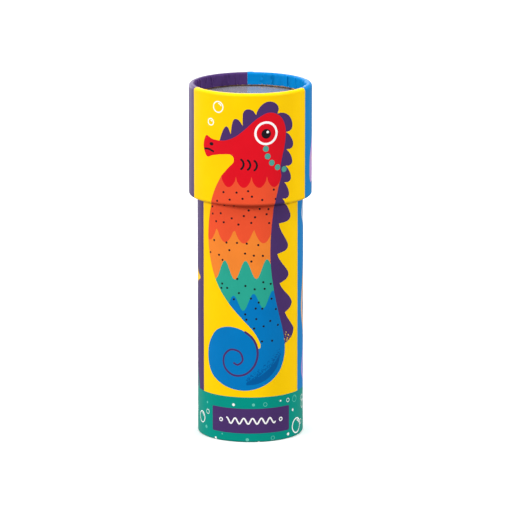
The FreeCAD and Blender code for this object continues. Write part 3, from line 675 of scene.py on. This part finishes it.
class Wrap:
    """One printed paper: its place on the round tube, and its turns over the rims.

    Along the tube the paper's own height s equals z on the straight outside wall, and runs on past
    the wall's end by the length of paper that is turned over the rim. At the top it goes further in
    than the CAD's, by the tuck.
    """

    def __init__(self, node, outer_round, inner_round, seam, flap, tuck=0.0):
        spots, radii = node_spots(node)
        self.outer = float(radii.max())
        self.fold = float(radii.min())
        self.low, self.high = (float(f(spots[:, 2])) for f in (np.min, np.max))
        middle = (self.low + self.high) / 2
        inside = spots[radii < self.fold + PAPER / 2, 2]
        self.folded_low = float(inside[inside < middle].max())
        above = inside[inside > middle]
        self.folded_high = float(above.min()) - tuck if len(above) else None
        self.outer_round, self.inner_round = outer_round, inner_round
        self.seam, self.flap = radians(seam), radians(flap)
        self.arc_out = outer_round * pi / 2
        self.arc_in = inner_round * pi / 2
        self.flat = self.outer - outer_round - self.fold - inner_round
        self.turn_length = self.arc_out + self.flat + self.arc_in
        self.wall_low = self.low + outer_round
        self.wall_high = self.high - (outer_round if self.folded_high else 0)
        self.s_low = self.wall_low - self.turn_length - (self.folded_low - self.low - inner_round)
        self.s_high = self.wall_high
        if self.folded_high:
            self.s_high += self.turn_length + (self.high - inner_round - self.folded_high)
        self.x_start = (self.seam - TURN - self.flap) * self.outer
        self.x_end = self.seam * self.outer
        self.pleats = self.make_pleats()

    def make_pleats(self):
        """Creases where the turned-in paper has less room: (angle, half width, height, drift).

        A negative width folds the crease over to the other side.
        """
        dice = random.Random(PLEAT_SEED)
        found = []
        angle = -pi
        while angle < pi:
            angle += radians(dice.uniform(4.0, 9.0))
            side = dice.choice((-1, 1))
            found.append((angle, side * radians(dice.uniform(1.2, 2.6)), dice.uniform(0.25, 0.75),
                          dice.uniform(-0.012, 0.012)))
        before, after = SEAM_CLEAR
        return [p for p in found if not before < remainder(p[0] - self.seam, TURN) < after]

    def over_rim(self, past):
        """Radius, and depth below the rim, this far past the end of the straight wall."""
        first = np.clip(past / self.outer_round, 0, pi / 2)
        flat = np.clip(past - self.arc_out, 0, self.flat)
        second = np.clip((past - self.arc_out - self.flat) / self.inner_round, 0, pi / 2)
        down = np.clip(past - self.turn_length, 0, None)
        radius = self.outer - self.outer_round * (1 - np.cos(first)) - flat
        radius -= self.inner_round * np.sin(second)
        depth = self.outer_round * (1 - np.sin(first)) + self.inner_round * (1 - np.cos(second)) + down
        return radius, depth

    def pleat_height(self, angle, past):
        """How far the creases stand in towards the axis."""
        strength = np.clip((past - self.arc_out * PLEAT_START) / PLEAT_GROWTH, 0, 1)
        leaning = np.clip(past - DRIFT_FROM, 0, DRIFT_OVER)
        height = np.zeros_like(angle)
        groove = np.zeros_like(angle)
        for centre, width, tall, drift in self.pleats:
            offset = (np.mod(angle - centre - drift * leaning + pi, TURN) - pi) / width
            height = np.maximum(height, tall * np.interp(offset, PLEAT_STEPS, PLEAT_SHAPE))
            groove = np.maximum(groove, np.interp(offset, GROOVE_STEPS, (0, 1, 0)))
        return (height - GROOVE_DEPTH * groove * (height < GROOVE_DEPTH)) * strength

    def place(self, x, s):
        """Points of the printed face, in millimetres."""
        angle = x / self.outer
        rise = np.clip(((angle - (self.seam - self.flap)) / FLAP_BEND) + 1, 0, 1)
        if not self.folded_high:
            rise = rise * np.clip((s - self.wall_low + self.outer_round) / FOOT_FADE, 0.1, 1)
        lift = (PAPER + GLUE) * rise * rise * (3 - 2 * rise)
        bottom, depth_low = self.over_rim(np.clip(self.wall_low - s, 0, None))
        radius, z = bottom, np.where(s < self.wall_low, self.low + depth_low, s)
        if self.folded_high:
            past = np.clip(s - self.wall_high, 0, None)
            top, depth_high = self.over_rim(past)
            high = s > self.wall_high
            radius = np.where(high, top - self.pleat_height(angle, past), radius)
            z = np.where(high, self.high - depth_high, z)
        points = np.stack([radius * np.sin(angle), -radius * np.cos(angle), z], axis=1)
        return points, lift

    def faces_out(self, x, s):
        """The printed face and its outward normals, with the flap lifted clear of what it covers."""
        step = 0.02
        points, lift = self.place(x, s)
        along = self.place(x + step, s)[0] - self.place(x - step, s)[0]
        up = self.place(x, s + step)[0] - self.place(x, s - step)[0]
        normals = np.cross(along, up)
        normals /= np.linalg.norm(normals, axis=1)[:, None]
        return points + normals * lift[:, None], normals

    def rows(self):
        """Paper heights where the sheet needs an edge all the way along."""
        turn = [self.arc_out * k / 6 for k in range(7)]
        turn += [self.arc_out + self.flat + self.arc_in * k / 5 for k in range(6)]
        found = [self.s_low, self.s_high]
        found += [self.wall_low - d for d in turn]
        if self.folded_high:
            found += [self.wall_high + d for d in turn]
            start = self.wall_high + self.turn_length
            found += [start + (self.s_high - start) * k / 6 for k in range(1, 6)]
        wall = self.wall_high - self.wall_low
        wall_rows = max(1, round(wall / 9))
        found += [self.wall_low + wall * k / wall_rows for k in range(wall_rows + 1)]
        return sorted(set(round(s, 4) for s in found))


def inside_polygon(points, shape):
    """Which points lie inside a closed outline."""
    px, pz = points.T
    edge_x, edge_z = np.array(shape, float).T
    hit = (px > edge_x.min()) & (px < edge_x.max())
    where = np.nonzero(hit & (pz > edge_z.min()) & (pz < edge_z.max()))[0]
    x, z = px[where], pz[where]
    odd = np.zeros(len(where), bool)
    for x0, z0, x1, z1 in zip(edge_x, edge_z, np.roll(edge_x, -1), np.roll(edge_z, -1)):
        if z0 == z1:
            continue
        crosses = (z0 > z) != (z1 > z)
        odd ^= crosses & (x < (x1 - x0) * (z - z0) / (z1 - z0) + x0)
    inside = np.zeros(len(px), bool)
    inside[where] = odd
    return inside


def covered_by(points, shape, hole=None, within=None):
    """Which points a shape covers, less its hole and what lies outside another outline."""
    covered = inside_polygon(points, shape)
    if hole is not None:
        covered &= ~inside_polygon(points, hole)
    if within is not None:
        covered &= inside_polygon(points, within)
    return covered


def cut_sheet(art, edge, hole=None, lines=()):
    """Triangles of a flat sheet with this edge and hole, cut along every drawn outline, and their inks.

    lines are open lines that also become mesh edges, so that the sheet can bend there.
    """
    points, edges = [], []

    def add_line(line, closed):
        start = len(points)
        points.extend(Vector(p) for p in line)
        edges.extend((start + k, start + k + 1) for k in range(len(line) - 1))
        if closed:
            edges.append((start + len(line) - 1, start))

    for line in lines:
        add_line(line, False)
    drawn = [line for _, shape, inside, _ in art.shapes for line in (shape, inside)]
    for line in (edge, hole, *drawn):
        if line is not None:
            add_line(line, True)
    flat, _, faces, _, _, _ = delaunay_2d_cdt(points, edges, [], 0, 1e-4, False)
    spots = np.array([tuple(p) for p in flat])
    triangles = np.array([f for f in faces if len(f) == 3])
    middle = spots[triangles].mean(axis=1)
    kept = covered_by(middle, edge, hole)
    triangles, middle = triangles[kept], middle[kept]
    inks = np.full(len(triangles), -1)
    names = list(INKS)
    for ink, shape, inside, within in art.shapes:
        inks[covered_by(middle, shape, inside, within)] = names.index(ink)
    used = np.unique(triangles)
    place = np.full(len(spots), -1)
    place[used] = np.arange(len(used))
    return spots[used], place[triangles], inks


def build_solid(name, face_points, back_points, normals, triangles, inks):
    """A closed thin solid: printed face, plain back, and the cut edges between them."""
    count = len(face_points)
    halves = dict.fromkeys(edge for a, b, c in triangles for edge in ((a, b), (b, c), (c, a)))
    rim = [(a, b) for a, b in halves if (b, a) not in halves]
    faces = triangles.tolist()
    faces += [[c + count, b + count, a + count] for a, b, c in triangles]
    faces += [[b, a, a + count, b + count] for a, b in rim]
    mesh = bpy.data.meshes.new(name)
    mesh.from_pydata((np.vstack([face_points, back_points]) * MM).tolist(), [], faces)
    used = sorted(set(inks.tolist()))
    names = list(INKS)
    for ink in used:
        mesh.materials.append(MATERIALS["print_" + names[ink]])
    mesh.materials.append(MATERIALS["paper_back"])
    plain = len(used)
    indices = [used.index(ink) for ink in inks.tolist()] + [plain] * (len(triangles) + len(rim))
    mesh.polygons.foreach_set("material_index", indices)
    mesh.polygons.foreach_set("use_smooth", [True] * len(mesh.polygons))
    mesh.update()
    loop_normals = np.concatenate([
        normals[triangles.reshape(-1)],
        -normals[triangles[:, ::-1].reshape(-1)],
        np.repeat([mesh.polygons[k].normal[:] for k in range(2 * len(triangles), len(faces))], 4, axis=0),
    ])
    mesh.normals_split_custom_set(loop_normals.tolist())
    return add_object(name, mesh)


def printed_wrap(name, wrap, art):
    """The paper's mesh, bent round its tube."""
    columns = round((wrap.x_end - wrap.x_start) / (wrap.outer * radians(2.0)))
    edges_x = np.linspace(wrap.x_start, wrap.x_end, columns + 1)
    flap_edge = (wrap.seam - wrap.flap) * wrap.outer
    bend = FLAP_BEND * wrap.outer
    bends = [flap_edge - bend, flap_edge - bend / 2, flap_edge]
    lines = [[(x, wrap.s_low), (x, wrap.s_high)] for x in (*edges_x[1:-1], *bends)]
    lines += [[(wrap.x_start, s), (wrap.x_end, s)] for s in wrap.rows()[1:-1]]
    if wrap.folded_high:
        start = wrap.wall_high + wrap.arc_out * PLEAT_START
        angles = [centre + step * width for centre, width, _, _ in wrap.pleats
                  for step in (*PLEAT_STEPS, *GROOVE_STEPS[1:])]
        angles = [a + turn for a in angles for turn in (-TURN, 0, TURN)]
        xs = [a * wrap.outer for a in sorted(set(angles))]
        lines += [[(x, start), (x, wrap.s_high)] for x in xs if wrap.x_start + 0.1 < x < wrap.x_end - 0.1]
    edge = box(wrap.x_start, wrap.s_low, wrap.x_end, wrap.s_high)
    spots, triangles, inks = cut_sheet(art, edge, None, lines)
    face, normals = wrap.faces_out(spots[:, 0], spots[:, 1])
    return build_solid(name, face, face - normals * PAPER, normals, triangles, inks)


# ---------------------------------------------------------------- pieces

MATERIALS = {"print_" + name: print_ink(name) for name in INKS}
MATERIALS["paper_back"] = kraft_board("paper_back", "E9E4DA")
FINISHES = {
    "tube_board": kraft_board("spiral_wound_board", "A48763", plies=0.4, winding=48.0),
    "ring_board": kraft_board("cut_greyboard", "BDAB8E", plies=0.5),
    "eyepiece_board": kraft_board("eyepiece_greyboard", "9C886A", plies=0.5),
    "slip_paper": waxed_paper("waxed_slip_paper", "EDEBE0"),
    "mirror_film": mirror_strip("silvered_strip", "DDE1E4"),
    "clear_film": clear_sheet("clear_polyester", "F2F7F9", 0.03, 0.02),
    "frosted_plastic": clear_sheet("frosted_sheet", "B6B4BE", 0.17, 0.5),
    "tape": sticky_tape("amber_tape", "D2AE62"),
    "foam": closed_foam("grey_foam", "34343A"),
    "bead_red": loose_plastic("round_bead_plastic", ("D81C26", "E8473C", "C2123F", "F07C86"),
                              (25, 54, 92, 140, 185, 229, 272, 314, 351), 0.0),
    "bead_blue": loose_plastic("tube_bead_plastic", ("1E6FE0", "16A5D8", "3348C8"),
                               range(26, 360, 45), 0.35),
    "star_yellow": loose_plastic("star_chip_plastic", ("FFC20A", "FFE04A", "F29C11"),
                                 range(40, 360, 60), 0.0),
    "ring_green": loose_plastic("ring_chip_plastic", ("17A673", "7CC943", "0E8F83"),
                                range(12, 360, 60), 0.35),
    "gem_purple": loose_plastic("gem_chip_plastic", ("7A34A8", "B13FA6", "5A3CC2"),
                                range(54, 360, 60), 0.45),
    "flake_orange": loose_plastic("flake_plastic", ("F5731B", "FF9B2E", "E8482A"), (3, 123, 243), 0.5),
}

for part in frame["record"]["subparts"]:
    finish = FINISHES.get(part["material_slot"])
    if finish is not None:
        for place in frame["nodes"][part["node"]].material_slots:
            place.material = finish

cap_paper = Wrap("cap_wrap", 1.5, 1.2, seam=183.2, flap=5.0, tuck=0.55)
tube_paper = Wrap("tube_wrap", 0.9, 0.6, seam=181.5, flap=5.0)

for name, wrap, draw, node, body in (
        ("printed_cap_paper", cap_paper, cap_art, "cap_wrap", "cap"),
        ("printed_tube_paper", tube_paper, tube_art, "tube_wrap", "viewing_tube")):
    piece = printed_wrap(name, wrap, draw(pi * wrap.outer, wrap.s_low - 1, wrap.s_high + 1))
    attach(piece, body)
    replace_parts(piece, node)


def eye_label_art(radius, hole):
    """Rings and bubbles round the peep hole."""
    art = Drawing()
    art.paint("green", oval(0, 0, radius * 1.1, count=60))
    art.paint("white", oval(0, 0, hole + 2.6, count=48), hole=oval(0, 0, hole + 1.7, count=48))
    for x, z in oval(0, 0, 11.4, count=12):
        art.paint("yellow", oval(x, z, 0.8, count=16))
    wave = []
    for k in range(180):
        angle = TURN * k / 180
        reach = 21.6 + 0.8 * cos(18 * angle)
        wave.append((reach * cos(angle), reach * sin(angle)))
    art.paint("purple", wave, hole=[(x * 0.955, z * 0.955) for x, z in wave])
    dice = random.Random(LABEL_SEED)
    for k in range(22):
        angle = TURN * (k + dice.uniform(0.1, 0.9)) / 22
        reach = dice.uniform(14.2, 18.4)
        ink = dice.choice(("white", "white", "mist"))
        art.bubble(reach * cos(angle), reach * sin(angle), dice.uniform(0.7, 1.9), 0.32, ink)
    return art


def make_eye_label():
    """The printed label under the eyepiece disc, facing down."""
    spots, radii = node_spots("eyepiece_label")
    low, high = spots[:, 2].min(), spots[:, 2].max()
    outside, hole = radii.max(), radii.min()
    art = eye_label_art(outside, hole)
    flat, triangles, inks = cut_sheet(art, oval(0, 0, outside, count=120), oval(0, 0, hole, count=60))
    face, back = (np.insert(flat, 2, level, axis=1) for level in (low, high))
    down = np.tile((0.0, 0.0, -1.0), (len(flat), 1))
    piece = build_solid("printed_eye_label", face, back, down, triangles[:, ::-1], inks)
    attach(piece, "viewing_tube")
    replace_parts(piece, "eyepiece_label")


TEAR_SEED = 31
PALE_SIDE = radians(60)  # most of the pale fibres are at this angle


def make_torn_bezel():
    """The ragged brown ring that holds the frosted disc, its colour darkened with painted shade from the
    gap above the disc, and the fibres that stand out of its edge.
    """
    spots, radii = node_spots("disc_bezel_ring")
    outside, inside = radii.max(), radii.min() + 0.45
    low = spots[:, 2].min()
    high = low + 0.55
    dice = random.Random(TEAR_SEED)
    count = 720
    ragged = [dice.gauss(0, 0.16) for _ in range(count)]
    corners = ((outside, low, 0), (outside, high - 0.12, 0), (outside - 0.2, high, 0),
               (inside + 0.3, high - 0.04, 0.6), (inside, (low + high) / 2, 1.0), (inside + 0.12, low, 0.8))
    points, faces = [], []
    for k in range(count):
        angle = TURN * k / count
        tear = (ragged[k] + ragged[k - 1] + 0.1 * sin(7 * angle)) / 1.5
        for radius, z, share in corners:
            r = radius + tear * share
            points.append((r * cos(angle), r * sin(angle), z + 0.25 * tear * share))
    n = len(corners)
    for k in range(count):
        a, b = k * n, (k + 1) % count * n
        faces += [(a + j, b + j, b + (j + 1) % n, a + (j + 1) % n) for j in range(n)]
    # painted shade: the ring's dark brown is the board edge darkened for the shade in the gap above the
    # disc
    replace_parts(cap_mesh("torn_bezel_edge", points, faces, "torn_kraft_painted_shade"), "disc_bezel_ring")

    # the dark fibres share that colour, painted shade included; the pale fibres do not
    for name, number, coarse, material in (("pale_fibres", 187, 2.6, "pale_fibre"),
                                           ("dark_fibres", 153, 1.0, "torn_kraft_painted_shade")):
        points, faces = [], []
        for _ in range(number):
            angle = dice.gauss(PALE_SIDE, 0.3) if name == "pale_fibres" else dice.uniform(0, TURN)
            radius = inside + dice.uniform(-0.1, 0.35)
            out = np.array((cos(angle), sin(angle), 0.0))
            start = radius * out + (0, 0, high - dice.uniform(0.0, 0.2))
            across = np.array((-sin(angle), cos(angle), 0.0))
            way = across * dice.gauss(0, 0.6) - out * dice.uniform(0.2, 0.8)
            way += (0, 0, dice.uniform(0.1, 0.7))
            length, width = dice.uniform(0.35, 1.1), dice.uniform(0.06, 0.14) * coarse
            bend = np.array([dice.gauss(0, 0.2) for _ in range(3)])
            add_fibre(points, faces, start, way * length, bend * length, width)
        cap_mesh(name, points, faces, material)


def add_fibre(points, faces, start, reach, bend, width):
    """A thin curved thread with three sides, added to a mesh's points and faces."""
    steps = 4
    first = len(points)
    for k in range(steps + 1):
        t = k / steps
        middle = start + reach * t + bend * t * t
        thin = width * (1 - 0.6 * t) / 2
        points += [tuple(middle + thin * np.array((cos(a), sin(a), 0.4 * cos(2 * a))))
                   for a in (0, TURN / 3, 2 * TURN / 3)]
    for k in range(steps):
        a = first + 3 * k
        faces += [(a + j, a + (j + 1) % 3, a + 3 + (j + 1) % 3, a + 3 + j) for j in range(3)]
    faces += [(first + 2, first + 1, first), tuple(range(first + 3 * steps, first + 3 * steps + 3))]


def cap_mesh(name, points, faces, material):
    """A mesh piece from points in millimetres, riding on the cap."""
    mesh = bpy.data.meshes.new(name)
    mesh.from_pydata([tuple(c * MM for c in p) for p in points], [], faces)
    mesh.materials.append(MATERIALS[material])
    mesh.validate()
    piece = add_object(name, mesh)
    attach(piece, "cap")
    return piece


# partly real board edge, partly painted shade: this kraft is coloured as dark as the edge looks in the
# shade above the disc
MATERIALS["torn_kraft_painted_shade"] = kraft_board("torn_kraft_painted_shade", "4A3222", plies=0.3)
MATERIALS["pale_fibre"] = kraft_board("pale_fibre", "DDB27A")
make_eye_label()
make_torn_bezel()


# ---------------------------------------------------------------- stage

FLOOR_REACH = 8.0
SKY_ABOVE, SKY_BELOW = 0.3, 0.4  # strength over and under the horizon
HORIZON = (-0.05, 0.15)  # the heights, as a direction's z, between which one fades to the other
AIM = (0, 0, 0.1)
CAMERA_PLACE = (0.0029, -2.3816, 0.6342)
CAMERA_TILT = radians(90 - 12.811)
CAMERA_LENS = 331.44


def add_light(name, place, aim, size, power):
    """A soft square light."""
    data = bpy.data.lights.new(name, "AREA")
    data.shape = "SQUARE"
    data.size = size
    data.energy = power
    light = add_object(name, data)
    light.location = place
    light.rotation_euler = (Vector(aim) - Vector(place)).to_track_quat("-Z", "Y").to_euler()
    return light


def make_stage():
    """Plain pale floor, soft studio light and the camera."""
    mesh = bpy.data.meshes.new("floor")
    corners = [(x, y, 0) for x, y in box(-FLOOR_REACH, -FLOOR_REACH, FLOOR_REACH, FLOOR_REACH)]
    mesh.from_pydata(corners, [], [(0, 1, 2, 3)])
    mesh.materials.append(Surface("floor_paper", "F9F9F9", Roughness=0.9, Specular_IOR_Level=0.1).material)
    floor = add_object("floor", mesh)
    floor.visible_glossy = False
    floor.visible_diffuse = False

    world = bpy.data.worlds.new("studio")
    bpy.context.scene.world = world
    world.use_nodes = True
    tree = world.node_tree
    sky = tree.nodes["Background"]
    sky.inputs["Color"].default_value = (1, 1, 1, 1)
    direction = tree.nodes.new("ShaderNodeTexCoord")
    split = tree.nodes.new("ShaderNodeSeparateXYZ")
    horizon = tree.nodes.new("ShaderNodeMapRange")
    for socket, value in zip(("From Min", "From Max", "To Min", "To Max"),
                             (*HORIZON, SKY_BELOW, SKY_ABOVE)):
        horizon.inputs[socket].default_value = value
    tree.links.new(direction.outputs["Generated"], split.inputs[0])
    tree.links.new(split.outputs["Z"], horizon.inputs["Value"])
    tree.links.new(horizon.outputs["Result"], sky.inputs["Strength"])

    add_light("ceiling", (0, 0.1, 3.2), (0, 0.1, 0), 4.6, 126.0)
    add_light("key_left", (-2.01, -1.26, 1.2), AIM, 0.7, 52.0)
    add_light("fill_right", (2.09, -1.11, 1.1), AIM, 0.7, 36.0)
    add_light("back_fill", (0.7, 2.2, 1.3), AIM, 0.9, 15.0).visible_glossy = False
    add_light("sheen_left", (-1.15, 1.25, 0.3), AIM, 1.0, 10.0).visible_diffuse = False
    add_light("sheen_back", (-0.77, 2.6, 0.62), AIM, 1.8, 33.0).visible_diffuse = False

    camera_data = bpy.data.cameras.new("camera")
    camera_data.lens = CAMERA_LENS
    camera_data.sensor_width = 36.0
    camera_data.clip_end = 50.0
    camera = add_object("camera", camera_data)
    camera.location = CAMERA_PLACE
    camera.rotation_euler = (CAMERA_TILT, 0, 0)
    bpy.context.scene.camera = camera
    bpy.context.scene.view_settings.view_transform = "Standard"


make_stage()
